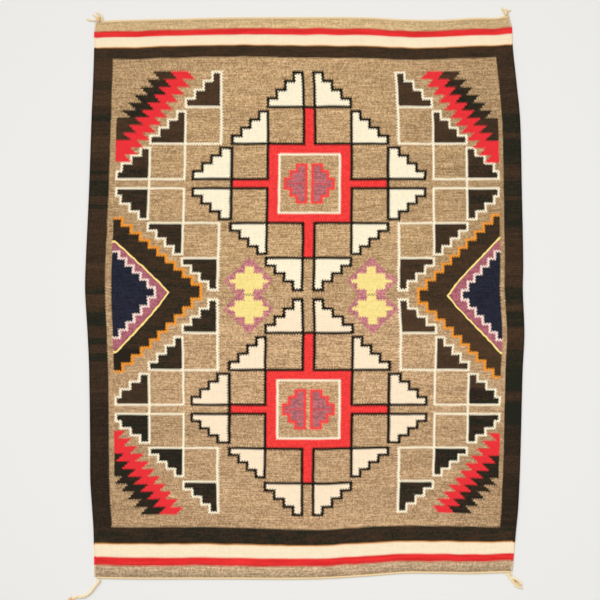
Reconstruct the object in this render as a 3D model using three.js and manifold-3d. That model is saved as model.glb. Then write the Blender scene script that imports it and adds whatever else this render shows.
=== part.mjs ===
// A flat-woven wool rug lying on a floor, in millimetres with +Z up.
// The origin is on the floor under the middle of the web. +Y runs along the warps and +X across them.
import * as THREE from 'three';
import { mergeVertices } from 'three/addons/utils/BufferGeometryUtils.js';
import Module from 'manifold-3d';

const wasm = await Module();
wasm.setup();

// Driving dimensions
const webThickness = 3.6;
const endCordWidth = 5;
const sideCordWidth = 4;
const cordGap = 0.5; // between the web's edge and the cords along it
const cockle = 0.35; // how far the upper face swells and dips
const cockleLength = { across: 330, along: 410 };

// How finely the curved shapes are stepped
const webSteps = { across: 24, along: 36 };
const cordSides = 8;
const cordSteps = 48;
const strandSteps = 6;

// Where the outer sides of the rug lie, at stations along its length from the bottom
const SIDES = [
  { along: -723, left: -544.5, right: 539 },
  { along: -608, left: -548, right: 548 },
  { along: -551, left: -553, right: 553.5 },
  { along: -473, left: -558, right: 557.5 },
  { along: -380, left: -558.5, right: 560.5 },
  { along: -187, left: -561, right: 565.5 },
  { along: -94, left: -565, right: 570 },
  { along: 21, left: -571.5, right: 566 },
  { along: 88, left: -570, right: 567 },
  { along: 276, left: -561.5, right: 563.5 },
  { along: 463, left: -555, right: 559 },
  { along: 556, left: -551, right: 550 },
  { along: 650, left: -547, right: 540 },
  { along: 723, left: -543, right: 538 },
];

// Where the two ends lie, at stations across the width
const ENDS = [
  { across: -541, top: 721, bottom: -730 },
  { across: -450, top: 724, bottom: -732 },
  { across: -320, top: 727, bottom: -732 },
  { across: -200, top: 730, bottom: -732 },
  { across: 20, top: 731, bottom: -732 },
  { across: 165, top: 730, bottom: -724 },
  { across: 260, top: 725, bottom: -717 },
  { across: 350, top: 724, bottom: -717 },
  { across: 440, top: 729, bottom: -718 },
  { across: 536, top: 733, bottom: -715 },
];

// How far each cord runs: an end cord across the rug, a side cord along it
const CORDS = {
  end_cord_top: { end: 'top', from: -528.9, to: 531 },
  end_cord_bottom: { end: 'bottom', from: -541, to: 535 },
  side_cord_left: { side: 'left', from: -724.4, to: 715.4 },
  side_cord_right: { side: 'right', from: -709.4, to: 727.4 },
};

// The corner tassels: knotted heads, and the cord ends that come out of them, as points [across, along]
const TASSELS = {
  tassel_top_left: {
    knots: [{ at: [-536, 724.8], size: [14.5, 17, 8] }],
    strands: [
      { width: 4.5, route: [[-533, 726], [-530, 733], [-536, 739], [-545, 743.5]] },
      { width: 4, route: [[-536, 727], [-543, 731.5], [-553.5, 739.5]] },
      { width: 4, route: [[-537, 724], [-551, 722], [-563, 723], [-570, 727]] },
    ],
  },
  tassel_top_right: {
    knots: [{ at: [523.7, 740], size: [9, 14, 7.5] }],
    strands: [
      { width: 4.8, route: [[523.5, 742], [521, 748.5], [515, 752.5], [510, 758]] },
      { width: 4, route: [[523, 741], [518, 743], [511.5, 747.5]] },
      { width: 4, route: [[523.5, 742], [523.5, 752]] },
      { width: 3.4, route: [[524, 741.5], [528, 746.5], [537.5, 749]] },
    ],
  },
  tassel_bottom_left: {
    knots: [
      { at: [-536.5, -735.7], size: [11, 10, 8.5] },
      { at: [-608.5, -784], size: [13, 12, 9] },
    ],
    rope: {
      width: 8,
      lay: 23,
      route: [
        [-536, -738], [-542, -751], [-548, -759], [-555, -766], [-564, -771.5],
        [-575, -776], [-586, -778], [-595, -777], [-608, -784],
      ],
    },
    strands: [
      { width: 2.6, route: [[-608, -783], [-619, -789], [-632, -791]] },
      { width: 2.6, route: [[-608, -784], [-617, -796], [-629, -803]] },
      { width: 2.6, route: [[-609, -784], [-612, -797], [-619, -810]] },
      { width: 2.6, route: [[-608, -784], [-606, -797], [-608, -809]] },
    ],
  },
  tassel_bottom_right: {
    knots: [{ at: [529, -720.1], size: [10, 9, 7] }],
    strands: [
      { width: 6, route: [[529, -720.5], [537, -729]] },
      { width: 4.6, route: [[535, -727], [544, -728], [552, -732], [559, -737], [562, -743]] },
      { width: 4.6, route: [[535, -727], [541.5, -736], [546, -744], [551, -749], [559, -751], [568, -754]] },
      { width: 4, route: [[541, -734], [551, -741], [559, -748]] },
      { width: 3, route: [[530, -719.5], [536, -718.3], [541.5, -721]] },
    ],
  },
};

// Yarn colours
const yarn = (color) => new THREE.MeshStandardMaterial({ color, roughness: 0.95, metalness: 0 });
const webYarn = yarn('#bd9c74');
const endCordYarn = yarn('#e2c69a');
const sideCordYarn = yarn('#3c2f22');
const tasselYarn = yarn('#cda873');

// The smooth curve through a table's rows, which rise by their key column, read at one place
function readTable(rows, key, column, place) {
  const after = rows.findIndex((row) => row[key] > place);
  const index = THREE.MathUtils.clamp(after < 0 ? rows.length : after, 1, rows.length - 1);
  const [here, next] = [rows[index - 1], rows[index]];
  const slopeAt = (i) => {
    const low = rows[Math.max(i - 1, 0)];
    const high = rows[Math.min(i + 1, rows.length - 1)];
    return (high[column] - low[column]) / (high[key] - low[key]);
  };
  const step = next[key] - here[key];
  const t = THREE.MathUtils.clamp((place - here[key]) / step, 0, 1);
  const rise = t * t * (3 - 2 * t);
  return THREE.MathUtils.lerp(here[column], next[column], rise)
    + step * t * (1 - t) * ((1 - t) * slopeAt(index - 1) - t * slopeAt(index));
}

// An edge of the rug, moved inwards by an inset
const leftEdge = (y, inset) => readTable(SIDES, 'along', 'left', y) + inset;
const rightEdge = (y, inset) => readTable(SIDES, 'along', 'right', y) - inset;
const topEdge = (x, inset) => readTable(ENDS, 'across', 'top', x) - inset;
const bottomEdge = (x, inset) => readTable(ENDS, 'across', 'bottom', x) + inset;

// The place in the web at shares s of its width and t of its length
function placeInWeb(s, t) {
  const sideInset = sideCordWidth + cordGap;
  const endInset = endCordWidth + cordGap;
  let [x, y] = [0, 0];
  for (let pass = 0; pass < 6; pass += 1) {
    y = THREE.MathUtils.lerp(bottomEdge(x, endInset), topEdge(x, endInset), t);
    x = THREE.MathUtils.lerp(leftEdge(y, sideInset), rightEdge(y, sideInset), s);
  }
  return [x, y];
}

// The height of the web's upper face, which swells and dips a little
function upperFace(x, y) {
  const across = Math.sin((2 * Math.PI * (x + 0.3 * y)) / cockleLength.across);
  const along = Math.cos((2 * Math.PI * y) / cockleLength.along);
  return webThickness + cockle * across * along;
}

// The woven web: flat underneath, bowed at its sides and wavy at its ends
function webGeometry() {
  const geometry = new THREE.BoxGeometry(1, 1, 1, webSteps.across, webSteps.along, 1);
  const points = geometry.attributes.position;
  for (let i = 0; i < points.count; i += 1) {
    const [x, y] = placeInWeb(points.getX(i) + 0.5, points.getY(i) + 0.5);
    points.setXYZ(i, x, y, points.getZ(i) > 0 ? upperFace(x, y) : 0);
  }
  return geometry;
}

// A regular section with flat sides above and below
function section(width, sides) {
  const radius = width / 2 / Math.cos(Math.PI / sides);
  const corners = [];
  for (let i = 0; i < sides; i += 1) {
    const angle = ((2 * i + 1) * Math.PI) / sides;
    corners.push(new THREE.Vector2(radius * Math.cos(angle), radius * Math.sin(angle)));
  }
  return new THREE.Shape(corners);
}

function tube(points, width, sides, steps) {
  const extrudePath = new THREE.CatmullRomCurve3(points, false, 'centripetal');
  return new THREE.ExtrudeGeometry(section(width, sides), { steps, extrudePath, bevelEnabled: false });
}

// A cord that follows one edge of the rug and rests on the floor
function cordGeometry({ end, side, from, to }) {
  const width = end ? endCordWidth : sideCordWidth;
  const edges = { top: topEdge, bottom: bottomEdge, left: leftEdge, right: rightEdge };
  const points = [];
  for (let i = 0; i <= cordSteps; i += 1) {
    const place = THREE.MathUtils.lerp(from, to, i / cordSteps);
    const middle = edges[end ?? side](place, width / 2);
    const [x, y] = end ? [place, middle] : [middle, place];
    points.push(new THREE.Vector3(x, y, width / 2));
  }
  return tube(points, width, cordSides, cordSteps);
}

// One strand of a tassel, resting level on the floor
function strand({ route, width }) {
  const points = route.map(([x, y]) => new THREE.Vector3(x, y, width / 2));
  return tube(points, width, 4, strandSteps);
}

// The two plies of a short twisted rope that rests on the floor
function ropePlies({ route, width, lay }) {
  const stepsInTurn = 10;
  const plyWidth = 0.58 * width;
  const reach = (width - plyWidth) / 2;
  const middle = new THREE.CatmullRomCurve3(route.map(([x, y]) => new THREE.Vector3(x, y, width / 2)));
  const steps = Math.round((middle.getLength() / lay) * stepsInTurn);
  return [0, Math.PI].map((start) => {
    const points = [];
    for (let i = 0; i <= steps; i += 1) {
      const angle = start + (2 * Math.PI * i) / stepsInTurn;
      const ahead = middle.getTangentAt(i / steps);
      const sideways = new THREE.Vector3(-ahead.y, ahead.x, 0).multiplyScalar(reach * Math.cos(angle));
      points.push(middle.getPointAt(i / steps).add(sideways));
      points[i].z += reach * Math.sin(angle);
    }
    return tube(points, plyWidth, 6, steps);
  });
}

// A knot, as a rounded lump that rests on the floor
function knot({ at, size }) {
  const geometry = new THREE.SphereGeometry(0.5, 12, 6);
  geometry.rotateX(Math.PI / 2);
  geometry.scale(...size);
  return geometry.translate(at[0], at[1], size[2] / 2);
}

function toSolid(geometry) {
  const bare = geometry.index ? geometry.clone() : geometry;
  bare.deleteAttribute('normal');
  bare.deleteAttribute('uv');
  const merged = mergeVertices(bare, 1e-4);
  const vertProperties = new Float32Array(merged.attributes.position.array);
  const triVerts = new Uint32Array(merged.index.array);
  return new wasm.Manifold(new wasm.Mesh({ numProp: 3, vertProperties, triVerts }));
}

function toGeometry(solid) {
  const mesh = solid.getMesh();
  const geometry = new THREE.BufferGeometry();
  geometry.setAttribute('position', new THREE.BufferAttribute(mesh.vertProperties, 3));
  geometry.setIndex(new THREE.BufferAttribute(mesh.triVerts, 1));
  geometry.computeVertexNormals();
  return geometry;
}

// A tassel: its knots, rope and strands fused into one solid
function tasselGeometry({ knots, rope, strands }) {
  const pieces = [...knots.map(knot), ...(rope ? ropePlies(rope) : []), ...strands.map(strand)];
  return toGeometry(pieces.map(toSolid).reduce((whole, piece) => whole.add(piece)));
}

const rug = new THREE.Group();

function add(name, geometry, material) {
  const mesh = new THREE.Mesh(geometry, material);
  mesh.name = name;
  rug.add(mesh);
}

add('web', webGeometry(), webYarn);
for (const [name, cord] of Object.entries(CORDS)) {
  add(name, cordGeometry(cord), cord.end ? endCordYarn : sideCordYarn);
}
for (const [name, tassel] of Object.entries(TASSELS)) {
  add(name, tasselGeometry(tassel), tasselYarn);
}

export default rug;
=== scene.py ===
"""A flat-woven wool rug lying on a floor, with its edge cords and corner tassels.

Lengths are in millimetres until a mesh or the camera is made. The floor's and the lamps' are
in metres. The origin is on the floor under the middle of the rug, +X runs across it, +Y along
its warps and +Z up.

The web's pattern is a chart of terraced triangles, open squares, serrated bands and stepped
diamonds, drawn in u across and v along, in the millimetres of an evenly woven rug. Short
tables say how far the weaving pushed the chart's lines from their even places.
"""

import math

import bpy
import numpy as np
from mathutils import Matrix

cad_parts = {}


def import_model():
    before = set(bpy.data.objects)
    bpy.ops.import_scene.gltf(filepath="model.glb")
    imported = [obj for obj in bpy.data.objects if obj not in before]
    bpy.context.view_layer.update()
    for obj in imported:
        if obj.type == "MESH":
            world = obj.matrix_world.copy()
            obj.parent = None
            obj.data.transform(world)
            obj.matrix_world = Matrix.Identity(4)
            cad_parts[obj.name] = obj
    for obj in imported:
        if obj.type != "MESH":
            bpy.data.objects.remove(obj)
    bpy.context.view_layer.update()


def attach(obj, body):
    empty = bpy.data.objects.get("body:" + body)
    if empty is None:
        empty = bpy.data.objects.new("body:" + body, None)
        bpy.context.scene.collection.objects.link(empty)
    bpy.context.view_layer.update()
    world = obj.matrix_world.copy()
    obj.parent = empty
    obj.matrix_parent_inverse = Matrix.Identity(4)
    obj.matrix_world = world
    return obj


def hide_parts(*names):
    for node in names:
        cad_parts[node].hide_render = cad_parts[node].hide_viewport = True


MM = 0.001

# The view from straight above
FRAME_WIDTH = 1560
FRAME_MIDDLE = (-13, -5.2)
LENS = 85
SENSOR = 36

# Outer sides of the rug, at stations along it: along, left, right
SIDES = np.array([
    (-723, -547.5, 538), (-608, -549.5, 548), (-551, -553, 553.5), (-473, -558, 557.5),
    (-380, -558.5, 560.5), (-187, -561, 565.5), (-94, -565, 570), (21, -571.5, 566),
    (88, -570, 567), (276, -561.5, 563.5), (463, -555, 559), (556, -551, 550),
    (650, -548, 540), (690, -548, 538.5), (706, -546, 537.5), (726, -544.5, 531.5),
])

# Outer ends of the rug and of its field, at stations across it:
# across, top, bottom, field top, field bottom
ENDS = np.array([
    (-541, 721, -730, 621, -594), (-450, 724, -732, 621.5, -594.5),
    (-320, 727, -732, 626, -593.5), (-200, 730, -732, 628.5, -595),
    (20, 731, -732, 625, -601.5), (165, 730, -724, 624, -594),
    (260, 725, -717, 620, -591), (350, 724, -717, 621, -591),
    (440, 729, -718, 624.5, -593), (495, 729.5, -716, 627, -594),
    (536, 736, -715, 628, -594),
])

# The chart's upright lines, as shares of the rug's width: chart, upper half, lower half. The
# two halves meet smoothly between two places on the chart
COLUMNS = np.array([
    (-572, 0, 0), (-525, 0.0455, 0.044), (-504, 0.0597, 0.0572), (-418, 0.1383, 0.1379),
    (-323, 0.2196, 0.2168), (-228, 0.3023, 0.2957), (-205, 0.3294, 0.3237),
    (-110, 0.412, 0.4064), (-15, 0.4961, 0.4928), (15, 0.5219, 0.519),
    (110, 0.6066, 0.6072), (205, 0.6908, 0.6921), (228, 0.7164, 0.7183),
    (323, 0.7966, 0.7988), (418, 0.8736, 0.8757), (504, 0.9497, 0.952), (525, 0.958, 0.9605),
    (572, 1, 1),
])

HALVES_MEET = (-150, 50)

# The chart's rows, as places along the rug: chart, along
ROWS = np.array([
    (-575.9, -564.2), (-492.7, -478.5), (-399.1, -390.5), (-305.5, -301.6), (-281.1, -277.4),
    (-187.5, -187.2), (-93.9, -91), (-10.7, -6.2), (10.7, 23.4), (93.9, 104),
    (187.5, 195), (281.1, 285.2), (305.5, 309.4), (399.1, 400.9), (492.7, 496.1),
    (575.9, 586.8),
])

# Below SAG_FROM the rows sag with the field's lower end, which lies about FIELD_BOTTOM along
SAG_FROM = -300
FIELD_BOTTOM = -596

# The end bands, as shares of the way from the field to the rug's end: chart, top, bottom
BANDS = np.array([
    (610, 0, 0), (647, 0.309, 0.357), (678.7, 0.555, 0.574), (698.5, 0.708, 0.74), (726, 1, 1),
])

# The web's threads
WARPS = 336
WEB_THICKNESS = 3.6
COCKLE = 0.35
COCKLE_ACROSS = 330
COCKLE_ALONG = 410
RIB_TOP = (-0.45, -0.1, 0.0, -0.1)
RIB_UNDER = (0.35, 0.0)
WEB_ROWS = 55
PICK = 1.7

# How the wefts stray from the chart: teeth over odd warps, turns at the upright lines, chance
# shifts of each warp, slow drifts, and waves in the end bands
TOOTH = 1.5
TURN_LENGTH = 7.3
TURN_DEPTH = 2.4
WOBBLE = 1.5
DRIFT = 2.5
BAND_WAVE = 4.5

# The cords along the edges. A lay is the length of one full turn of the plies, and a side cord
# stands a little outside the line in SIDES
END_CORD_WIDTH = 5
END_CORD_LAY = 10
SIDE_CORD_WIDTH = 4
SIDE_CORD_LAY = 9
SIDE_OUTSET = 1.0
CORD_GAP = 0.5
CORD_OVERLAP = 1.4
CORD_SQUASH = 0.8
STEPS_IN_LAY = 8

# The loose strands of the tassels: yarns in each, length of a full turn, spread at the tip
STRAND_YARNS = 7
STRAND_LAY = 16.0
STRAND_TIP = 1.25

# The chart: its border and bands, with the thin orange and deep red lines between two bands
WEB_END = 726
GREY_BAND = 698.5
RED_BAND = 678.7
WHITE_BAND = 647
FIELD_END = 610
FIELD_SIDE = 525
ORANGE_FRINGE = 2.8
RED_EDGE = 3.2
RED_EDGE_DEPTH = 0.6

# Bars in the side borders, black and brown: middle along the chart, height. The borders turn
# black between the two places in BLACK_BELOW
BLACK_LEFT = ((545, 20), (466, 18), (323, 10), (280, 42), (232, 12), (8, 13), (-58, 38),
              (-115, 17), (-155, 20))
BROWN_LEFT = ((556, 118), (398, 40), (72, 18), (-12, 26), (-243, 12))
BLACK_RIGHT = ((452, 48), (378, 66), (280, 42), (213, 76), (-2, 38), (-58, 38), (-190, 108),
               (-305, 64))
BROWN_RIGHT = ((570, 18), (66, 36), (-30, 10), (-100, 34), (-255, 12), (-445, 48))
BLACK_BELOW = (-300, -175)

# Lots of wool in the dark fills and in the serrated bands: from, to along the chart, and how
# much browner on the left and on the right
DARK_LOTS = (
    (608, 650, 0.18, 0.18), (430, 608, 0.5, 0.48), (340, 430, 0.3, 0.3), (130, 240, 0, 0.2),
    (-30, 130, 0.08, 0.32), (-150, -30, 0.04, 0.62), (-235, -150, 0.08, 0.44),
    (-285, -235, 0.33, -0.22), (-455, -285, -0.3, -0.2), (-650, -455, -0.1, 0.0),
)
SERRATE_LOTS = (
    (557, 620, 0.4, 0.45), (467, 557, -0.1, -0.15), (400, 467, 0.36, 0.2),
    (-650, -300, -0.3, -0.2),
)

# The chart: its lattice of squares and terraced triangles. A line's two numbers are its width
# where upright and its height where level. The lowest triangles have lower steps
CELL = (95, 93.6)
STEP = (23.75, 20.8)
LOW_STEP = 19.7
STEPS = 4
BLACK_LINE = (7.6, 7.2)
CREAM_LINE = (6, 5.4)
MEDALLION_MIDDLE = 293.3
MEDALLION_START = 15
WING_START = 228
WING_REACH = 504
OUTER_ROW = 199.4
FRAME_HALF = (110, 105.8)

# The chart: the emblem inside each square frame, as half widths and half heights of its steps
EMBLEM_STEPS = ((67.5, 16.1), (52.8, 36), (36.3, 53.6))
EMBLEM_GAP = 4.9
EMBLEM_RIM = (6.8, 6.2)
INNER_LINE = (79, 78)
SEAM_HALF = 1.5
SEAM_DEPTH = 0.7

# The chart: the serrated bands. Four numbers are for the upper left, lower left, upper right
# and lower right corners, and two for the left and right sides. Black is the width of the black
# part, a row shifts against the one above it, and slant is how far a tooth's edge runs in
SERRATE_TOP = (578, 577.5, 578.5, 575)
SERRATE_ROW = (18.5, 19.8, 18.85, 18.3)
SERRATE_INNER_ROW = (19.2, 21.2, 19.35, 20.85)
SERRATE_OUTER_ROWS = 5
SERRATE_OUTER = (418, 447, 415, 440)
SERRATE_BLACK = (50, 50, 48.5, 52)
SERRATE_WIDTH = (100, 100, 97, 97)
SERRATE_ROWS = (12, 11, 12, 11)
SERRATE_FULL_FROM = 6
SERRATE_RED_FROM = 9
SERRATE_SHIFT = 15.1
SERRATE_SLANT = 21.5
SERRATE_REACH = (506, 503.5)

# The chart: the triangles at the sides, in the same four places, or left and right
SIDE_REACH = (505, 502.4)
ORANGE_TOP = (203.5, 195.1, 211.5, 210)
ORANGE_STEP = (19.6, 20.3, 21.7, 20.9)
ORANGE_START = 478.5
ORANGE_STEP_OUT = (23.4, 22.4)
ORANGE_STEPS = 9.0
ORANGE_LINE = (7, 6.1)
BLACKEST_FROM = 135.0
ROSE_TOP = (113.4, 108.7, 114.4, 114)
ROSE_STEP = (18.7, 20, 20.4, 20.1)
ROSE_START = 484.5
ROSE_STEP_OUT = (18.8, 17.3)
ROSE_STEPS = 5.0
ROSE_LINE = (6.2, 4.9)

# The yellow lines in them. The hook, the waver and the line's outer and inner edges are shares
# of the depth or the height
YELLOW_HEIGHT = (140, 155, 155.5, 148.5)
YELLOW_REACH = 505
YELLOW_DEPTH = (148.0, 143.5)
YELLOW_HOOK = 0.045
YELLOW_WAVER = 0.035
YELLOW_LINE = (0.02, -0.022)
YELLOW_MIDDLE = (4.9, -2.5)

# The chart: the double diamonds, with a stepped cross in each half. Its body is a half width
# between two rows, its arm a half width and a top, and its point a reach, a row, a half height
# and a taper
DIAMOND_MIDDLE = (153, 163)
DIAMOND_WAIST = 33
DIAMOND_WIDEST = 33.5
DIAMOND_TOP = 65.0
DIAMOND_SLOPES = (0.92, 1.04)
CROSS_BODY = (36.4, 12.5, 53.3)
CROSS_ARM = (12.0, 71.5)
CROSS_POINT = (52.0, 31.5, 6.0, 0.19)
WAIST_LINE = (11.0, 1.5)

# How strongly pale and dark flecks show in the grey wool
FLECK_CONTRAST = 1.5

# A mix node's two colour slots and its colour output
MIX_UNDER = 6
MIX_OVER = 7
MIX_RESULT = 2


def wool(code):
    """A yarn colour as linear light, from the usual six hexadecimal digits."""
    parts = [int(code[i:i + 2], 16) / 255 for i in (1, 3, 5)]
    linear = [p / 12.92 if p <= 0.04045 else ((p + 0.055) / 1.055) ** 2.4 for p in parts]
    return (*linear, 1.0)


YARN_CODES = {
    "grey": "#c5a075",
    "grey_light": "#f0cfa4",
    "grey_dark": "#866341",
    "grey_gold": "#c8a471",
    "grey_rose": "#d09c80",
    "grey_green": "#b5a272",
    "grey_band_top": "#e6cf9c",
    "grey_band_low": "#d8c4a6",
    "cream": "#fff3d4",
    "cream_low": "#ffe9c9",
    "cream_line": "#fef2d5",
    "white_band": "#ffeccb",
    "red": "#fc4441",
    "red_deep": "#ec3a37",
    "red_band": "#f93a38",
    "red_band_deep": "#da2829",
    "red_edge": "#b83028",
    "red_serrate": "#ee343a",
    "black": "#2a2219",
    "black_cool": "#23241a",
    "brown": "#523b28",
    "outline": "#19110a",
    "navy": "#2a2c3c",
    "navy_dark": "#20202a",
    "mauve": "#da908f",
    "mauve_dark": "#ac6670",
    "emblem": "#d2747c",
    "emblem_dark": "#98605f",
    "side_mauve": "#bf717c",
    "side_mauve_dark": "#965460",
    "seam_pale": "#e2c694",
    "seam_red": "#c4795a",
    "yellow": "#fce696",
    "yellow_deep": "#f9e088",
    "yellow_line": "#fde58c",
    "orange": "#f29a34",
    "orange_fringe": "#f0a352",
    "rose_cream": "#fce2d4",
    "cord": "#fbe6bc",
    "cord_deep": "#dcbd8a",
    "cord_gold": "#d8a860",
    "tassel": "#fff6d8",
    "tassel_deep": "#f0d6a4",
    "tassel_gold": "#e0a04c",
}
YARNS = {name: wool(code) for name, code in YARN_CODES.items()}


# Shapes

def read_table(table, column, places):
    """The smooth curve through a table's rows, which rise by their first column."""
    keys = table[:, 0]
    values = table[:, column]
    order = np.arange(len(keys))
    low = np.maximum(order - 1, 0)
    high = np.minimum(order + 1, len(keys) - 1)
    slopes = (values[high] - values[low]) / (keys[high] - keys[low])
    index = np.clip(np.searchsorted(keys, places, side="right"), 1, len(keys) - 1)
    step = keys[index] - keys[index - 1]
    t = np.clip((places - keys[index - 1]) / step, 0, 1)
    rise = t * t * (3 - 2 * t)
    bend = step * t * (1 - t) * ((1 - t) * slopes[index - 1] - t * slopes[index])
    return values[index - 1] * (1 - rise) + values[index] * rise + bend


def left_edge(y):
    return read_table(SIDES, 1, y)


def right_edge(y):
    return read_table(SIDES, 2, y)


def top_edge(x):
    return read_table(ENDS, 1, x)


def bottom_edge(x):
    return read_table(ENDS, 2, x)


def row_place(v, x):
    """How far along the rug a row of the chart lies, at a place across it."""
    last = ROWS[-1]
    first = ROWS[0]
    field_top = read_table(ENDS, 3, x)
    field_bottom = read_table(ENDS, 4, x)
    inside = np.interp(v, ROWS[:, 0], ROWS[:, 1])
    rise = np.clip((v - last[0]) / (FIELD_END - last[0]), 0, 1) * (field_top - last[1])
    rise += np.interp(v, BANDS[:, 0], BANDS[:, 1]) * (top_edge(x) - field_top)
    sag = np.clip((SAG_FROM - v) / (SAG_FROM - first[0]), 0, 1) * (field_bottom - FIELD_BOTTOM)
    fall = np.clip((first[0] - v) / (FIELD_END + first[0]), 0, 1) * (first[1] - FIELD_BOTTOM)
    fall += np.interp(-v, BANDS[:, 0], BANDS[:, 2]) * (field_bottom - bottom_edge(x))
    return inside + rise + sag - fall


def web_grid(columns, rows):
    """The crossings of the web's threads: x, y and the chart's u and v, rows by columns."""
    s = np.linspace(0, 1, columns)[None, :]
    t = np.linspace(0, 1, rows)[:, None]
    inset = SIDE_CORD_WIDTH + CORD_GAP - SIDE_OUTSET
    end_inset = END_CORD_WIDTH + CORD_GAP
    x = np.zeros((rows, columns))

    # The places across and along depend on each other, and settle within a few rounds
    for _ in range(5):
        top_share = 1 - end_inset / (top_edge(x) - read_table(ENDS, 3, x))
        bottom_share = 1 - end_inset / (read_table(ENDS, 4, x) - bottom_edge(x))
        high = np.interp(top_share, BANDS[:, 1], BANDS[:, 0])
        low = -np.interp(bottom_share, BANDS[:, 2], BANDS[:, 0])
        v = low + (high - low) * t
        y = row_place(v, x)
        left = left_edge(y)
        right = right_edge(y)
        x = left + inset + s * (right - left - 2 * inset)
    share = (x - left) / (right - left)
    upper = np.interp(share, COLUMNS[:, 1], COLUMNS[:, 0])
    lower = np.interp(share, COLUMNS[:, 2], COLUMNS[:, 0])
    climb = np.clip((v - HALVES_MEET[0]) / (HALVES_MEET[1] - HALVES_MEET[0]), 0, 1)
    u = lower + (upper - lower) * climb * climb * (3 - 2 * climb)
    return x, y, u, v


def upper_face(x, y):
    """The height of the web's upper face, which swells and dips a little."""
    across = np.sin(2 * math.pi * (x + 0.3 * y) / COCKLE_ACROSS)
    return WEB_THICKNESS + COCKLE * across * np.cos(2 * math.pi * y / COCKLE_ALONG)


def grid_faces(rows, columns, start):
    """Four-sided faces over a grid of points that are numbered row by row."""
    corner = (np.arange(rows - 1)[:, None] * columns + np.arange(columns - 1)[None, :]).ravel()
    faces = np.stack([corner, corner + 1, corner + columns + 1, corner + columns], axis=1)
    return faces + start


def add_object(name, data):
    """A new object in the scene."""
    made = bpy.data.objects.new(name, data)
    bpy.context.collection.objects.link(made)
    return made


def mesh_piece(name, points, faces, marks, material):
    """A smooth piece from points in millimetres, with a chart mark on each point."""
    mesh = bpy.data.meshes.new(name)
    mesh.from_pydata((np.asarray(points) * MM).tolist(), [], faces)
    mark = mesh.attributes.new("chart", "FLOAT_VECTOR", "POINT")
    mark.data.foreach_set("vector", np.asarray(marks, dtype=np.float32).ravel())
    mesh.polygons.foreach_set("use_smooth", [True] * len(mesh.polygons))
    mesh.materials.append(material)
    return add_object(name, mesh)


def place(piece, node):
    """The piece lies still and stands for one solid, which it hides."""
    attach(piece, "root")
    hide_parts(node)
    return piece


def make_web(material):
    """The woven web, ribbed over its warps on both faces."""
    per_rib = len(RIB_TOP)
    columns = WARPS * per_rib + 1
    rows = WEB_ROWS
    x, y, u, v = web_grid(columns, rows)
    warp = np.broadcast_to(np.arange(columns) / per_rib, x.shape)
    relief = np.array(RIB_TOP)[np.arange(columns) % per_rib]
    top = np.stack([x, y, upper_face(x, y) + relief], axis=2)
    marks = np.stack([u, v, warp], axis=2)

    every = per_rib // len(RIB_UNDER)
    under_relief = np.array(RIB_UNDER)[np.arange(columns)[::every] % (2 * every) // every]
    under = top[::2, ::every].copy()
    under[:, :, 2] = under_relief
    under_marks = marks[::2, ::every]
    under_rows, under_columns = under.shape[:2]
    start = rows * columns

    faces = grid_faces(rows, columns, 0).tolist()
    faces += grid_faces(under_rows, under_columns, start)[:, ::-1].tolist()
    for i in range(under_columns - 1):
        a = every * i
        low = start + i
        faces.append((low, low + 1, a + 2, a + 1, a))
        far = (rows - 1) * columns + a
        low = start + (under_rows - 1) * under_columns + i
        faces.append((low + 1, low, far, far + 1, far + 2))
    for j in range(under_rows - 1):
        a = 2 * j * columns
        low = start + j * under_columns
        faces.append((low + under_columns, low, a, a + columns, a + 2 * columns))
        a += columns - 1
        low += under_columns - 1
        faces.append((low, low + under_columns, a + 2 * columns, a + columns, a))
    points = np.concatenate([top.reshape(-1, 3), under.reshape(-1, 3)])
    all_marks = np.concatenate([marks.reshape(-1, 3), under_marks.reshape(-1, 3)])
    return place(mesh_piece("rug_web", points, faces, all_marks, material), "web")


# Yarn shapes

def lengths_along(path):
    """How far along a path each of its points lies."""
    gone = np.linalg.norm(np.diff(path, axis=0), axis=1)
    return np.concatenate([[0], np.cumsum(gone)])


def directions(path):
    """The way ahead and the level way aside, at each point of a path."""
    ahead = np.gradient(path, axis=0)
    ahead /= np.linalg.norm(ahead, axis=1)[:, None]
    aside = np.cross(ahead, (0, 0, 1))
    aside /= np.maximum(np.linalg.norm(aside, axis=1)[:, None], 1e-6)
    return ahead, aside


class Heap:
    """Points, faces and marks of many lengths of yarn, gathered for one mesh."""

    def __init__(self):
        self.points = []
        self.faces = []
        self.marks = []
        self.count = 0

    def add_tube(self, path, radii, tone=0.0, sides=7, squash=1.0):
        """A closed tube along a path. Its marks are the length, the way round and the tone."""
        path = np.asarray(path, dtype=float)
        rings = len(path)
        radii = np.broadcast_to(radii, rings)
        ahead, aside = directions(path)
        above = np.cross(aside, ahead)
        angle = 2 * math.pi * np.arange(sides) / sides
        out = np.cos(angle)[None, :, None] * aside[:, None, :]
        out = out + squash * np.sin(angle)[None, :, None] * above[:, None, :]
        ring_points = path[:, None, :] + radii[:, None, None] * out
        marks = np.zeros((rings, sides, 3))
        marks[:, :, 0] = lengths_along(path)[:, None]
        marks[:, :, 1] = np.minimum(angle, 2 * math.pi - angle)[None, :]
        marks[:, :, 2] = np.broadcast_to(tone, rings)[:, None]
        ring = np.arange(rings - 1)[:, None] * sides
        corner = ring + np.arange(sides)
        beside = ring + (np.arange(sides) + 1) % sides
        quads = np.stack([corner, beside, beside + sides, corner + sides], axis=2)
        self.faces += (quads.reshape(-1, 4) + self.count).tolist()
        self.faces.append([self.count + i for i in range(sides)][::-1])
        self.faces.append([self.count + (rings - 1) * sides + i for i in range(sides)])
        self.points.append(ring_points.reshape(-1, 3))
        self.marks.append(marks.reshape(-1, 3))
        self.count += rings * sides

    def piece(self, name, material):
        points = np.concatenate(self.points)
        points[:, 2] = np.maximum(points[:, 2], 0.05)
        return mesh_piece(name, points, self.faces, np.concatenate(self.marks), material)


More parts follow.
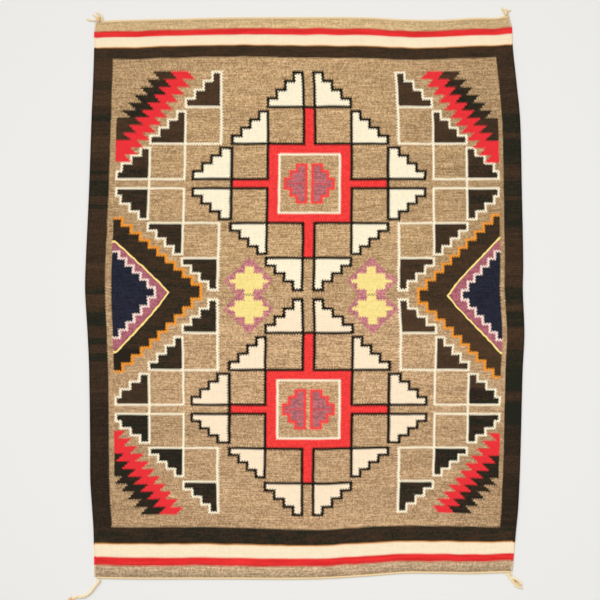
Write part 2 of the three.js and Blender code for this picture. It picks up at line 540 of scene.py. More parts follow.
def smooth_path(route, step):
    """A smooth curve through a route's points, with a point every step."""
    route = np.asarray(route, dtype=float)
    keys = lengths_along(route)
    table = np.column_stack([keys, route])
    places = np.linspace(0, keys[-1], max(3, int(keys[-1] / step) + 1))
    return np.column_stack([read_table(table, i + 1, places) for i in range(route.shape[1])])


def ply_paths(path, width, lay, plies, squash):
    """The paths and the radius of plies that wind round a path, a full turn in each lay."""
    ply = 0.29 * width
    reach = width / 2 - ply
    turn = 2 * math.pi * lengths_along(path) / lay
    aside = directions(path)[1]
    paths = []
    for k in range(plies):
        angle = turn + 2 * math.pi * k / plies
        ply_path = path + reach * np.cos(angle)[:, None] * aside
        ply_path[:, 2] += squash * reach * np.sin(angle)
        paths.append((ply_path, ply))
    return paths


def edge_cord(node, edge, span, material):
    """A two-ply cord over a span of one edge of the web. A side cord's tone is its chart row."""
    across = edge in (top_edge, bottom_edge)
    width = END_CORD_WIDTH if across else SIDE_CORD_WIDTH
    lay = END_CORD_LAY if across else SIDE_CORD_LAY
    outset = 0 if across else SIDE_OUTSET
    steps = int((span[1] - span[0]) / lay * STEPS_IN_LAY)
    along = np.linspace(span[0], span[1], steps)
    drawn = width + CORD_OVERLAP
    inward = drawn / 2 - outset
    line = edge(along) + (inward if edge in (left_edge, bottom_edge) else -inward)
    height = np.full(steps, CORD_SQUASH * drawn / 2)
    tone = 0.0
    path = np.column_stack((along, line, height))
    if not across:
        charted = np.linspace(-WEB_END, WEB_END, 600)
        tone = np.interp(along, row_place(charted, edge(0.0)), charted)
        path = np.column_stack((line, along, height))
    heap = Heap()
    for ply_path, radius in ply_paths(path, drawn, lay, 2, CORD_SQUASH):
        heap.add_tube(ply_path, radius, tone, squash=CORD_SQUASH)
    return place(heap.piece("rug_" + node, material), node)


def fibres(heap, route, width, tone, dice):
    """A soft strand of yarns that turn together and part at the far end."""
    path = smooth_path(route, 1.0)
    steps = len(path)
    share = np.linspace(0, 1, steps)
    turn = 2 * math.pi * lengths_along(path) / STRAND_LAY
    aside = directions(path)[1]
    yarn = 0.21 * width
    spread = 1 + (STRAND_TIP - 1) * np.clip((share - 0.6) / 0.4, 0, 1) ** 2
    narrow = 1 - 0.25 * np.clip((share - 0.75) / 0.25, 0, 1)
    for k in range(STRAND_YARNS):
        reach = 0 if k == 0 else (width / 2 - yarn) * dice.uniform(0.85, 1.05)
        angle = turn + 2 * math.pi * k / (STRAND_YARNS - 1) + dice.uniform(-0.15, 0.15)
        end = int(steps * dice.uniform(0.88, 1.0)) if steps > 12 else steps
        shift = reach * spread
        line = path + (shift * np.cos(angle))[:, None] * aside
        line[:, 2] += 0.8 * shift * np.sin(angle)
        line[:, 2] = np.maximum(line[:, 2], 0.8 * yarn)
        radii = yarn * narrow * dice.uniform(0.9, 1.1)
        heap.add_tube(line[:end], radii[:end], tone + dice.uniform(-0.1, 0.15))


def wound_knot(heap, middle, size, lean, turns, yarn, tone):
    """Yarn wound over and over a core that lies at a slant across the floor."""
    axis = np.array((math.cos(lean), math.sin(lean), 0))
    beside = np.array((-math.sin(lean), math.cos(lean), 0))
    centre = np.array((*middle, size[2] / 2))
    share = np.linspace(-1, 1, 9)
    core = centre + share[:, None] * axis * (size[0] / 2 - yarn)
    round_off = np.sqrt(np.maximum(1 - (0.96 * share) ** 2, 0))
    heap.add_tube(core, (size[2] / 2 - yarn) * round_off, tone, 10)
    t = np.linspace(0, 1, int(turns * 18))
    polar = (t - 0.5) * 0.86 * math.pi
    angle = 2 * math.pi * turns * t
    along = np.sin(polar) * (size[0] / 2 - yarn)
    out = np.cos(polar)
    line = centre + along[:, None] * axis
    line = line + (out * np.cos(angle) * (size[1] / 2 - yarn))[:, None] * beside
    line[:, 2] += out * np.sin(angle) * (size[2] / 2 - yarn)
    heap.add_tube(line, yarn, tone + 0.15 * np.sin(angle * 0.37))


def tassel(knots, strands, seed):
    """Knots and strands at one corner.

    A knot is a middle, a size, a slant, the turns and half width of its yarn and a tone. A
    strand is a width, a tone, the height it starts at and the points it follows.
    """
    dice = np.random.default_rng(seed)
    heap = Heap()
    for middle, size, lean, turns, yarn, tone in knots:
        wound_knot(heap, middle, size, math.radians(lean), turns, yarn, tone)
    for width, tone, height, points in strands:
        rise = np.linspace(height, width / 2, len(points))
        fibres(heap, np.column_stack((np.array(points), rise)), width, tone, dice)
    return heap


def make_tassels(material):
    """The knotted cord ends at the four corners."""
    top_left = tassel(
        [((-536, 724.8), (16.5, 11.5, 8), 68, 5, 1.45, 0.75)],
        [(4.6, 0.1, 4.5, ((-529, 720), (-527.5, 728), (-530, 735), (-536, 740), (-545, 743.5))),
         (4.0, 0.15, 5.5, ((-534, 726), (-543, 731.5), (-553.5, 739.5))),
         (4.0, 0.2, 4.0, ((-535, 723), (-551, 722), (-563, 723), (-570, 727))),
         (3.0, 1.0, 6.0, ((-536, 731), (-538, 726), (-537, 720)))],
        3)

    top_right = tassel(
        [((523.7, 740), (13.5, 9, 7.5), 86, 4, 1.5, 0.6)],
        [(4.6, 0.1, 3.5, ((492, 727.5), (505, 728.5), (515, 732), (521, 737), (523, 742))),
         (4.8, 0.1, 4.5, ((523.5, 736), (521, 748.5), (515, 752.5), (510, 758))),
         (4.0, 0.1, 4.5, ((523, 741), (518, 743), (511.5, 747.5))),
         (4.0, 0.25, 4.0, ((523.5, 742), (523.5, 752))),
         (3.4, 0.3, 4.0, ((524, 741.5), (528, 746.5), (537.5, 749)))],
        5)

    bottom_left = tassel(
        [((-536.5, -735.7), (11, 10, 8.5), 60, 3.5, 1.5, 0.1),
         ((-608.5, -784), (13, 12, 9), 20, 4.5, 1.5, 0.9)],
        [(2.6, 0.3, 3.0, ((-608, -783), (-619, -789), (-632, -791))),
         (2.6, 0.2, 3.0, ((-608, -784), (-617, -796), (-629, -803))),
         (2.6, 0.3, 3.0, ((-609, -784), (-612, -797), (-619, -810))),
         (2.6, 0.2, 3.0, ((-608, -784), (-606, -797), (-608, -809)))],
        7)
    route = ((-536, -738), (-546, -749.5), (-552.5, -759), (-559, -766), (-566, -771.5),
             (-575, -776), (-586, -778), (-595, -777), (-606, -783))
    route = np.column_stack((np.array(route), np.full(len(route), 4.0)))
    for ply, radius in ply_paths(smooth_path(route, 1.2), 8.0, 23.0, 2, 0.9):
        for yarn, yarn_radius in ply_paths(ply, 2 * radius, 9.0, 3, 1.0):
            bottom_left.add_tube(yarn, yarn_radius, 0.1)

    bottom_right = tassel(
        [((529, -720.1), (10, 9, 7), -40, 3, 1.5, 0.1)],
        [(7.4, 0.1, 3.7, ((524, -716), (530, -722), (536, -729))),
         (6.0, 0.1, 4.0, ((533, -727), (544, -729.5), (553, -733.5), (560, -741), (563, -748))),
         (6.2, 0.15, 4.0, ((533, -727), (540, -737), (547, -746), (556, -751), (567, -753.5))),
         (6.6, 0.7, 3.3, ((537, -730), (545, -737), (553, -743.5), (561, -749))),
         # A thin dark brown strand in the slit between strands: painted shadow
         (1.6, 2.0, 7.2, ((545, -735), (550, -738.8), (556, -743))),
         (3.4, 0.0, 3.0, ((524, -717), (534, -717.3), (541.5, -720)))],
        9)

    heaps = {"top_left": top_left, "top_right": top_right,
             "bottom_left": bottom_left, "bottom_right": bottom_right}
    for corner, heap in heaps.items():
        piece = heap.piece("rug_tassel_" + corner, material)
        place(piece, "tassel_" + corner)


# Materials

def feed(slot, value):
    """Gives a node's slot a field, another node's output or a plain number or colour."""
    if isinstance(value, Field):
        value = value.socket
    if isinstance(value, bpy.types.NodeSocket):
        slot.id_data.links.new(value, slot)
    else:
        slot.default_value = value


class Field:
    """A number that changes over a surface. A mask is a field that is 0 or 1."""

    def __init__(self, socket):
        self.socket = socket

    def step(self, operation, *others):
        node = self.socket.id_data.nodes.new("ShaderNodeMath")
        node.operation = operation
        for slot, value in zip(node.inputs, (self, *others)):
            feed(slot, value)
        return Field(node.outputs[0])

    def __add__(self, other):
        return self.step("ADD", other)

    def __sub__(self, other):
        return self.step("SUBTRACT", other)

    def __rsub__(self, other):
        return self.step("MULTIPLY_ADD", -1.0, other)

    def __mul__(self, other):
        return self.step("MULTIPLY", other)

    def __truediv__(self, other):
        return self.step("DIVIDE", other)

    def __abs__(self):
        return self.step("ABSOLUTE")

    def __lt__(self, other):
        return self.step("LESS_THAN", other)

    def __gt__(self, other):
        return self.step("GREATER_THAN", other)

    def floor(self):
        return self.step("FLOOR")

    def fraction(self):
        return self.step("FRACT")

    def most(self, other):
        return self.step("MINIMUM", other)

    def least(self, other):
        return self.step("MAXIMUM", other)

    __and__ = __mul__
    __or__ = least


def joined(tree, across, along):
    """Two fields as one vector."""
    join = tree.nodes.new("ShaderNodeCombineXYZ")
    feed(join.inputs[0], across)
    feed(join.inputs[1], along)
    return join.outputs[0]


def noise(tree, across, along, detail=2.0, roughness=0.5):
    """Smooth noise from 0 to 1, over two fields."""
    node = tree.nodes.new("ShaderNodeTexNoise")
    node.noise_dimensions = "2D"
    feed(node.inputs["Scale"], 1.0)
    feed(node.inputs["Detail"], detail)
    feed(node.inputs["Roughness"], roughness)
    feed(node.inputs["Vector"], joined(tree, across, along))
    return Field(node.outputs[0])


def stretch(field, low, high):
    """A field's stretch from low to high, as 0 to 1."""
    node = field.socket.id_data.nodes.new("ShaderNodeMapRange")
    feed(node.inputs["Value"], field)
    feed(node.inputs["From Min"], low)
    feed(node.inputs["From Max"], high)
    return Field(node.outputs[0])


def spots(tree, u, v, size, spread, detail=1, roughness=0.5):
    """Soft spots of a size across and along, from 0 to 1. A small spread sharpens them."""
    field = noise(tree, u / size[0], v / size[1], detail, roughness)
    return stretch(field, 0.5 - spread, 0.5 + spread)


def blend(tree, mask, under, over, mode="MIX"):
    """One colour over another, as far as the mask goes."""
    node = tree.nodes.new("ShaderNodeMix")
    node.data_type = "RGBA"
    node.blend_type = mode
    feed(node.inputs[0], mask)
    feed(node.inputs[MIX_UNDER], under)
    feed(node.inputs[MIX_OVER], over)
    return node.outputs[MIX_RESULT]


def grey_value(tree, level):
    """A field as a grey colour."""
    node = tree.nodes.new("ShaderNodeCombineColor")
    for slot in node.inputs:
        feed(slot, level)
    return node.outputs[0]


def read_chart(tree):
    """The three numbers marked on a piece's points."""
    mark = tree.nodes.new("ShaderNodeAttribute")
    mark.attribute_name = "chart"
    split = tree.nodes.new("ShaderNodeSeparateXYZ")
    tree.links.new(mark.outputs["Vector"], split.inputs[0])
    return [Field(socket) for socket in split.outputs]


def wool_material(name):
    """A new wool material, with its tree and its shader."""
    material = bpy.data.materials.new(name)
    material.use_nodes = True
    tree = material.node_tree
    shader = tree.nodes["Principled BSDF"]
    feed(shader.inputs["Roughness"], 0.95)
    feed(shader.inputs["Specular IOR Level"], 0.1)
    feed(shader.inputs["Sheen Weight"], 0.03)
    feed(shader.inputs["Sheen Roughness"], 0.5)
    return material, tree, shader


def raise_surface(tree, shader, height, distance):
    """Bumps the surface by a field, up to a distance in millimetres."""
    bump = tree.nodes.new("ShaderNodeBump")
    feed(bump.inputs["Strength"], 0.8)
    feed(bump.inputs["Distance"], distance * MM)
    feed(bump.inputs["Height"], height)
    tree.links.new(bump.outputs[0], shader.inputs["Normal"])


def by_side(right, values):
    """The number for the left or the right side. The mask is 1 on the right."""
    return right * (values[1] - values[0]) + values[0]


def by_corner(low, right, values):
    """The number for the upper left, lower left, upper right or lower right corner."""
    upper_left, lower_left, upper_right, lower_right = values
    change = low * (lower_left - upper_left) + right * (upper_right - upper_left)
    change = change + low * right * (lower_right - lower_left - upper_right + upper_left)
    return change + upper_left


def bead_tones(tree, warp, bead):
    """A chance tone from 0 to 1 for each bead of weft over a warp."""
    node = tree.nodes.new("ShaderNodeTexWhiteNoise")
    node.noise_dimensions = "2D"
    feed(node.inputs["Vector"], joined(tree, warp.floor(), bead.floor()))
    return Field(node.outputs["Value"])


def flecks(tree, u, v, beads):
    """Beads of chance tones among short streaks that lie along the wefts, from 0 to 1."""
    return beads * 0.62 + spots(tree, u, v, (48, 3.1), 0.22) * 0.38


def grey_wool(tree, u, v, fleck, paler=0.0):
    """Carded grey wool: pale and dark fibres in short streaks, lot beside lot."""
    hue = spots(tree, u, v, (7, 5), 0.15)
    lot = spots(tree, u, v, (520, 26), 0.25, 2, 0.6)
    pick = spots(tree, u, v, (130, 3.2), 0.2)
    tinted = blend(tree, hue, YARNS["grey_rose"], YARNS["grey_green"])
    base = blend(tree, 0.35, YARNS["grey"], tinted)
    base = blend(tree, stretch(v, -60, 60) * 0.5, base, YARNS["grey_gold"])
    pale = (fleck - 0.5).least(0.0) * FLECK_CONTRAST
    dark = (0.5 - fleck).least(0.0) * FLECK_CONTRAST
    mixed = blend(tree, pale, base, YARNS["grey_light"])
    mixed = blend(tree, dark, mixed, YARNS["grey_dark"])

    # The wool is palest in the middle and below it, and darkest at the sides
    below = stretch(v, 40, -60) * stretch(v, -330, -290)
    middle = stretch(abs(u), 330, 90) - stretch(abs(v), 70, 10)
    far_side = stretch(abs(u), 340, 480) + stretch(u, 150, 420) * stretch(v, 0, 200)
    level = lot * 0.2 + pick * 0.07 + below * 0.08 + middle * 0.068 - far_side * 0.065
    return blend(tree, 1.0, mixed, grey_value(tree, level + 0.775 + paler), "MULTIPLY")


def dark_wool(tree, u, v, fleck, lots):
    """Near-black wool whose lots run from brown to black."""
    patch = spots(tree, u, v, (70, 13), 0.15, 2)
    brownness = fleck * 0.7 + patch * 0.24 - 0.2
    right = u > 0.0
    for low, high, *changes in lots:
        brownness = brownness + ((v > low) & (v < high)) * by_side(right, changes)
    base = blend(tree, patch, YARNS["black_cool"], YARNS["black"])
    return blend(tree, brownness, base, YARNS["brown"])


def bars_across(v, bars):
    """A mask of bars across a border."""
    mask = None
    for middle, height in bars:
        bar = abs(v - middle) < height / 2
        mask = bar if mask is None else mask | bar
    return mask


def border_wool(tree, u, v, fleck):
    """The dark borders, brown with bars of black, and blacker towards the lower end."""
    right = u > 0.0
    left = 1.0 - right
    ragged = v + (noise(tree, u / 9, v / 50, 1) - 0.5) * 4
    black = (bars_across(ragged, BLACK_LEFT) & left) | (bars_across(ragged, BLACK_RIGHT) & right)
    brown = (bars_across(ragged, BROWN_LEFT) & left) | (bars_across(ragged, BROWN_RIGHT) & right)
    below = stretch(ragged, BLACK_BELOW[1], BLACK_BELOW[0])
    lots = stretch(noise(tree, right * 40.0 + u / 900, v / 13, 3, 0.6), 0.35, 0.65)
    brownness = lots * 0.2 + fleck * 0.6 - black * 0.34 + brown * 0.23 - below * 0.26
    base = blend(tree, black, YARNS["black"], YARNS["black_cool"])
    return blend(tree, brownness, base, YARNS["brown"])


def mottled(tree, fleck, pale, deep):
    """Wool carded from two yarns."""
    return blend(tree, stretch(fleck, 0.2, 0.8), YARNS[deep], YARNS[pale])


def lattice(a, c, start, reach, rise, line):
    """The lines and the terraced triangles of one quarter, whose first upright is at start."""
    half_width = line[0] / 2
    half_height = line[1] / 2

    def within(first):
        cell = ((a - first) / CELL[0]).floor().least(0.0).most(2.0)
        return a - start - cell * CELL[0], c - OUTER_ROW + cell * CELL[1]

    aside, above = within(start - half_width)
    tall = (above > -CELL[1] - half_height) & (above < rise * STEPS + half_height)
    upright = (abs(aside) < half_width) & tall

    aside, above = within(start + half_width)
    beyond = aside > half_width
    stair = (STEPS - ((aside - half_width) / STEP[0]).floor()) * rise
    outline = (above < stair + half_height) & (above > -half_height)
    sill = abs(above + CELL[1]) < half_height
    lines = ((outline | sill) & beyond & (aside < CELL[0] + half_width)) | upright
    lines = lines & (a < reach)

    inner_stair = (STEPS - ((aside + half_width) / STEP[0]).floor()) * rise
    triangles = (above < inner_stair - half_height) & (above > half_height) & beyond
    triangles = triangles & (a < reach - line[0])
    return lines, triangles


def stepped(a, c, trim):
    """Half of the stepped emblem, trimmed all round."""
    mask = a > EMBLEM_GAP + trim[0]
    steps = None
    for half_width, half_height in EMBLEM_STEPS:
        step = (a < half_width - trim[0]) & (c < half_height - trim[1])
        steps = step if steps is None else steps | step
    return mask & steps


def paint_medallion(tree, paint, a, c, rise, wools):
    """The black-lined lattice round a red frame, its red arms and the emblem inside."""
    black = wools["outline"]
    half = (BLACK_LINE[0] / 2, BLACK_LINE[1] / 2)
    reach = MEDALLION_START + 3 * CELL[0] + half[0]
    lines, triangles = lattice(a, c, MEDALLION_START, reach, rise, BLACK_LINE)
    paint = blend(tree, lines, paint, black)
    paint = blend(tree, triangles, paint, wools["cream"])
    bar_end = (a < MEDALLION_START + half[0]) & (abs(c - OUTER_ROW) < half[1])
    paint = blend(tree, bar_end, paint, black)

    rim = (a < FRAME_HALF[0] + half[0]) & (c < FRAME_HALF[1] + half[1])
    frame = (a < FRAME_HALF[0] - half[0]) & (c < FRAME_HALF[1] - half[1])
    upright_arm = (a < MEDALLION_START - half[0]) & (c < OUTER_ROW - half[1])
    arm_end = FRAME_HALF[0] + CELL[0] - half[0]
    level_arm = (a < arm_end) & (c < FRAME_HALF[1] - CELL[1] - half[1])
    paint = blend(tree, rim, paint, black)
    paint = blend(tree, frame | upright_arm | level_arm, paint, wools["red"])

    half = (CREAM_LINE[0] / 2, CREAM_LINE[1] / 2)
    outer = (a < INNER_LINE[0] + half[0]) & (c < INNER_LINE[1] + half[1])
    inner = (a < INNER_LINE[0] - half[0]) & (c < INNER_LINE[1] - half[1])
    paint = blend(tree, outer, paint, YARNS["cream_line"])
    paint = blend(tree, inner, paint, wools["grey"])

    paint = blend(tree, stepped(a, c, (0, 0)), paint, YARNS["red"])
    paint = blend(tree, stepped(a, c, EMBLEM_RIM), paint, wools["emblem"])
    level_seam = (c < SEAM_HALF) & stepped(a, c, EMBLEM_RIM)
    paint = blend(tree, level_seam * SEAM_DEPTH, paint, YARNS["red_serrate"])
    gap = (a < EMBLEM_GAP) & (c < EMBLEM_STEPS[2][1])
    return blend(tree, gap, paint, wools["seam"])


def paint_serrates(tree, paint, a, b, low, right, wools):
    """The slanting saw-edged bands in the corners, black outside and red inside."""
    outer_row = by_corner(low, right, SERRATE_ROW)
    inner_row = by_corner(low, right, SERRATE_INNER_ROW)
    below_top = by_corner(low, right, SERRATE_TOP) - b
    inner_fall = (below_top - outer_row * SERRATE_OUTER_ROWS) / inner_row + SERRATE_OUTER_ROWS
    fall = (below_top / outer_row).most(inner_fall)
    black_width = by_corner(low, right, SERRATE_BLACK)
    outer = by_corner(low, right, SERRATE_OUTER)
    row = fall.floor()
    inward = outer + row * SERRATE_SHIFT - (fall - row) * SERRATE_SLANT - a
    rows = (fall > 0.0) & (fall < by_corner(low, right, SERRATE_ROWS))
    rows = rows & (a < by_side(right, SERRATE_REACH))
    full = row + low > SERRATE_FULL_FROM - 0.5
    only_red = row + low > SERRATE_RED_FROM - 0.5
    band = rows & ((inward > 0.0) | full) & (inward < by_corner(low, right, SERRATE_WIDTH))
    paint = blend(tree, band, paint, wools["serrate"])
    return blend(tree, band & ((inward > black_width) | only_red), paint, YARNS["red_serrate"])


def stair_edge(b, top, start, step, step_out, steps):
    """How far out a stair's edge lies that climbs inwards from the side of the field."""
    return start - ((top - b) / step).floor().most(steps) * step_out


def yellow_slope(tree, u, v):
    """How far outside the side triangles' yellow lines a place lies, as a share of their height.

    Each line turns level for its last few millimetres, at the side of the field.
    """
    low = v < 0.0
    right = u > 0.0
    depth = ((YELLOW_REACH - abs(u)) / by_side(right, YELLOW_DEPTH)).least(YELLOW_HOOK)
    waver = (noise(tree, u / 13, v / 13, 1) - 0.5) * YELLOW_WAVER
    away = abs(v - by_side(right, YELLOW_MIDDLE))
    return away / by_corner(low, right, YELLOW_HEIGHT) + depth + waver - 1.0


def paint_side_triangles(tree, paint, a, b, low, right, slope, wools):
    """The large terraced triangles at the sides, orange, dark, mauve and navy."""
    inside = a < by_side(right, SIDE_REACH)

    def terrace(top, start, stair):
        return (a > stair_edge(b, top, start, *stair)) & (b < top) & inside

    top = by_corner(low, right, ORANGE_TOP)
    step = by_corner(low, right, ORANGE_STEP)
    stair = (step, by_side(right, ORANGE_STEP_OUT), ORANGE_STEPS)
    orange = terrace(top, ORANGE_START, stair)
    dark = terrace(top - ORANGE_LINE[1], ORANGE_START + ORANGE_LINE[0], stair)
    paint = blend(tree, orange, paint, YARNS["orange"])
    paint = blend(tree, dark, paint, wools["dark"])
    blackest = dark & low & (1.0 - right) & (b > BLACKEST_FROM)
    paint = blend(tree, blackest, paint, YARNS["black"])

    paint = blend(tree, (slope < YELLOW_LINE[0]) & inside, paint, YARNS["yellow_line"])
    paint = blend(tree, (slope < YELLOW_LINE[1]) & inside, paint, wools["side_mauve"])

    top = by_corner(low, right, ROSE_TOP)
    step = by_corner(low, right, ROSE_STEP)
    stair = (step, by_side(right, ROSE_STEP_OUT), ROSE_STEPS)
    rose = terrace(top, ROSE_START, stair)
    navy = terrace(top - ROSE_LINE[1], ROSE_START + ROSE_LINE[0], stair)
    paint = blend(tree, rose, paint, YARNS["rose_cream"])
    return blend(tree, navy, paint, wools["navy"])


def paint_diamonds(tree, paint, u, a, b, wools):
    """The double diamonds between the medallions, each with two stepped crosses."""
    away = abs(a - by_side(u > 0.0, DIAMOND_MIDDLE))
    rising = b * DIAMOND_SLOPES[0] + DIAMOND_WAIST
    falling = DIAMOND_TOP - (b - DIAMOND_WIDEST) * DIAMOND_SLOPES[1]
    paint = blend(tree, away < rising.most(falling), paint, wools["mauve"])
    half_width, low, high = CROSS_BODY
    body = (away < half_width) & (b > low) & (b < high)
    arm = (away < CROSS_ARM[0]) & (b < CROSS_ARM[1])
    reach, level, half_height, taper = CROSS_POINT
    point = abs(b - level) < half_height - (away - half_width) * taper
    point = point & (away < reach)
    paint = blend(tree, body | arm | point, paint, wools["yellow"])
    waist = (away < WAIST_LINE[0]) & (b < WAIST_LINE[1])
    return blend(tree, waist * SEAM_DEPTH, paint, YARNS["brown"])


def paint_bands(tree, paint, b, wools):
    """The bands across an end, out from the field."""
    paint = blend(tree, b > FIELD_END, paint, wools["dark"])
    paint = blend(tree, b > WHITE_BAND - ORANGE_FRINGE, paint, YARNS["orange_fringe"])
    paint = blend(tree, b > WHITE_BAND, paint, YARNS["white_band"])
    paint = blend(tree, b > RED_BAND, paint, wools["band_red"])
    edge = (b > GREY_BAND - RED_EDGE) * RED_EDGE_DEPTH
    paint = blend(tree, edge, paint, YARNS["red_edge"])
    return blend(tree, b > GREY_BAND, paint, wools["band_grey"])


def paint_field(tree, u, v, slope, wools):
    """The whole chart, laid down layer on layer."""
    a = abs(u)
    b = abs(v)
    c = abs(b - MEDALLION_MIDDLE)
    rise = (v < -MEDALLION_MIDDLE) * (LOW_STEP - STEP[1]) + STEP[1]
    lines, triangles = lattice(a, c, WING_START, WING_REACH, rise, CREAM_LINE)
    paint = blend(tree, lines, wools["grey"], YARNS["cream_line"])
    paint = blend(tree, triangles, paint, wools["dark"])
    paint = paint_medallion(tree, paint, a, c, rise, wools)
    low = v < 0.0
    right = u > 0.0
    paint = paint_serrates(tree, paint, a, b, low, right, wools)
    paint = paint_side_triangles(tree, paint, a, b, low, right, slope, wools)
    paint = paint_diamonds(tree, paint, u, a, b, wools)
    paint = blend(tree, a > FIELD_SIDE, paint, wools["border"])
    return paint_bands(tree, paint, b, wools)


def web_material():
    """Weft-faced wool: beads of weft over the warps, the woven chart, and shade painted where
    the beads meet.
    """
    material, tree, shader = wool_material("web_wool")
    u, v, warp = read_chart(tree)
    odd = (warp / 2).fraction() > 0.5
    turn = ((v / TURN_LENGTH).fraction() > 0.5) - 0.5
    drift = noise(tree, u / 70, v / 40, 1) - 0.5
    wobble = noise(tree, v / 9, warp.floor(), 1) - 0.5
    woven_u = u + turn * TURN_DEPTH + wobble * WOBBLE + drift * DRIFT
    wave = (noise(tree, u / 60, v / 300, 2) - 0.5) * (abs(v) > FIELD_END) * BAND_WAVE
    woven_v = v + (odd - 0.5) * (2 * TOOTH) + drift * DRIFT + wave

    bead = v / (2 * PICK) + odd * 0.5
    fleck = flecks(tree, u, v, bead_tones(tree, warp, bead))
    upper = stretch(v, -60, 60)
    band_fleck = (fleck - 0.5) * (1.5 - upper * 0.5) + 0.5
    band_grey = grey_wool(tree, u, v, band_fleck, 0.2 - stretch(u, 0, 400) * upper * 0.1)
    streak = spots(tree, u, v, (120, 5), 0.15, 2) * 0.7 + fleck * 0.3
    band_tint = blend(tree, v < 0.0, YARNS["grey_band_top"], YARNS["grey_band_low"])
    wools = {
        "grey": grey_wool(tree, u, v, fleck),
        "band_grey": blend(tree, 0.35, band_grey, band_tint),
        "cream": blend(tree, stretch(v, 30, -60), YARNS["cream"], YARNS["cream_low"]),
        "outline": mottled(tree, fleck, "black", "outline"),
        "red": mottled(tree, fleck, "red", "red_deep"),
        "band_red": blend(tree, streak, YARNS["red_band_deep"], YARNS["red_band"]),
        "seam": mottled(tree, fleck, "seam_pale", "seam_red"),
        "dark": dark_wool(tree, u, v, fleck, DARK_LOTS),
        "serrate": dark_wool(tree, u, v, fleck, SERRATE_LOTS),
        "border": border_wool(tree, u, v, fleck),
        "mauve": mottled(tree, fleck, "mauve", "mauve_dark"),
        "side_mauve": mottled(tree, fleck, "side_mauve", "side_mauve_dark"),
        "emblem": mottled(tree, fleck, "emblem", "emblem_dark"),
        "navy": mottled(tree, fleck, "navy", "navy_dark"),
        "yellow": mottled(tree, fleck, "yellow", "yellow_deep"),
    }
    paint = paint_field(tree, woven_u, woven_v, yellow_slope(tree, u, v), wools)

    across_rib = warp.fraction() * 2 - 1.0
    along_bead = bead.fraction() * 2 - 1.0
    hump = (1.0 - across_rib * across_rib) * (1.0 - along_bead * along_bead)
    crease = hump.step("POWER", 0.5)
    fibre = noise(tree, u / 1.1, v / 0.5, 2, 0.6)
    # The crease term darkens the colour where beads meet between warps and picks: painted shade
    # in the crevices. The fibre and fleck terms are the wool's own tone.
    shade = crease * 0.22 + 0.82 + (fibre - 0.5) * 0.12 + (fleck - 0.5) * 0.12
    paint = blend(tree, 1.0, paint, grey_value(tree, shade), "MULTIPLY")
    feed(shader.inputs["Base Color"], paint)
    raise_surface(tree, shader, crease * 0.8 + fibre * 0.4, 0.7)
    return material


def yarn_material(name, yarn):
    """Spun yarn with fibres that slant round it. Its tone mark turns it golden, and a tone above
    1.3 turns it dark brown as painted shadow.
    """
    material, tree, shader = wool_material(name)
    length, around, tone = read_chart(tree)
    slant = length / 1.6 + around * 0.9
    fibre = noise(tree, slant, length / 14 - around, 3, 0.6)
    shade = stretch(fibre, 0.3, 0.7)
    paint = blend(tree, shade, YARNS[yarn + "_deep"], YARNS[yarn])
    paint = blend(tree, tone.most(1.0) * (shade * 0.5 + 0.5), paint, YARNS[yarn + "_gold"])
    # A tone above 1.3 paints shadow in dark brown, as in a tassel's slit
    paint = blend(tree, (tone - 1.3).least(0.0) * 1.2, paint, YARNS["brown"])
    feed(shader.inputs["Base Color"], paint)
    raise_surface(tree, shader, fibre, 0.5)
    return material


def side_cord_material(side):
    """Cord wrapped in the border's dark wool and in the wool of each end band."""
    material, tree, shader = wool_material("side_cord_wool_" + side)
    length, around, row = read_chart(tree)
    fibre = noise(tree, length / 1.6 + around * 0.9, length / 14, 3, 0.6)
    u = row * 0.0 + (-FIELD_SIDE if side == "left" else FIELD_SIDE)
    border = border_wool(tree, u, row, fibre)
    pale = mottled(tree, fibre, "white_band", "grey")
    wools = {"dark": border, "band_grey": pale, "band_red": YARNS["red_band"]}
    paint = paint_bands(tree, border, abs(row), wools)
    shade = stretch(fibre, 0.2, 0.8) * 0.3 + 0.75
    paint = blend(tree, 1.0, paint, grey_value(tree, shade), "MULTIPLY")
    feed(shader.inputs["Base Color"], paint)
    raise_surface(tree, shader, fibre, 0.4)
    return material


# Floor, light and camera

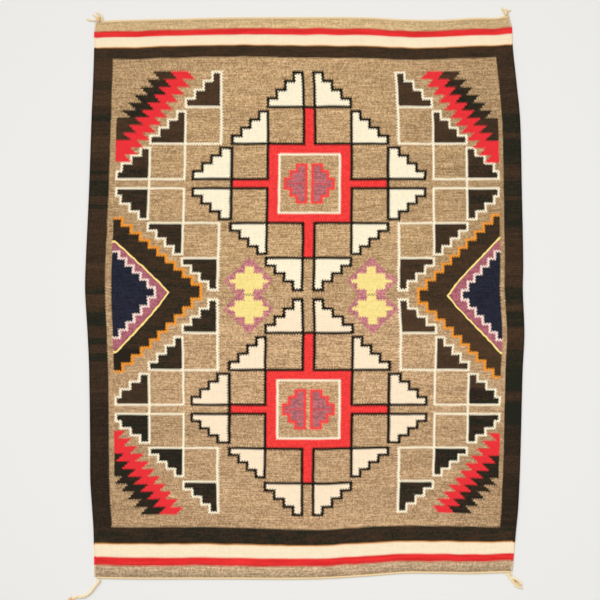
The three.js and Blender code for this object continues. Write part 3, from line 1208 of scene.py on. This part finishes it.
def make_floor():
    """A plain pale floor, which is no part of the rug."""
    mesh = bpy.data.meshes.new("floor")
    reach = 30.0
    corners = [(-reach, -reach, 0), (reach, -reach, 0), (reach, reach, 0), (-reach, reach, 0)]
    mesh.from_pydata(corners, [], [(0, 1, 2, 3)])
    material = bpy.data.materials.new("floor_pale")
    material.use_nodes = True
    shader = material.node_tree.nodes["Principled BSDF"]
    feed(shader.inputs["Base Color"], (0.8, 0.79, 0.77, 1))
    feed(shader.inputs["Roughness"], 0.9)
    mesh.materials.append(material)
    floor = add_object("floor", mesh)


def make_light():
    """Soft studio light: a pale sky, a very wide lamp from the upper left, one overhead."""
    world = bpy.data.worlds.new("studio")
    world.use_nodes = True
    background = world.node_tree.nodes["Background"]
    feed(background.inputs["Color"], (1, 1, 1, 1))
    feed(background.inputs["Strength"], 0.52)
    bpy.context.scene.world = world
    lamp = bpy.data.lights.new("soft_lamp", "SUN")
    lamp.energy = 1.6
    lamp.angle = math.radians(50)
    lamp_object = add_object("soft_lamp", lamp)
    lamp_object.rotation_euler = (math.radians(-28), math.radians(-24), 0)
    overhead = bpy.data.lights.new("overhead_lamp", "AREA")
    overhead.size = 1.2
    overhead.energy = 7
    overhead_object = add_object("overhead_lamp", overhead)
    overhead_object.location = (0, 0, 1.9)
    overhead_object.visible_camera = False


def make_camera():
    """The camera, straight above the rug."""
    data = bpy.data.cameras.new("camera")
    data.lens = LENS
    data.sensor_width = SENSOR
    data.clip_end = 100
    camera = add_object("camera", data)
    distance = FRAME_WIDTH * LENS / SENSOR + WEB_THICKNESS
    camera.location = (FRAME_MIDDLE[0] * MM, FRAME_MIDDLE[1] * MM, distance * MM)
    bpy.context.scene.camera = camera
    bpy.context.scene.view_settings.view_transform = "Standard"


def main():
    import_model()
    make_camera()
    make_light()
    make_floor()
    web = make_web(web_material())

    make_tassels(yarn_material("tassel_wool", "tassel"))
    end_wool = yarn_material("end_cord_wool", "cord")
    cords = [
        edge_cord("end_cord_top", top_edge, (-528.9, 531), end_wool),
        edge_cord("end_cord_bottom", bottom_edge, (-541, 535), end_wool),
        edge_cord("side_cord_left", left_edge, (-724.4, 715.4), side_cord_material("left")),
        edge_cord("side_cord_right", right_edge, (-709.4, 727.4), side_cord_material("right")),
    ]


main()
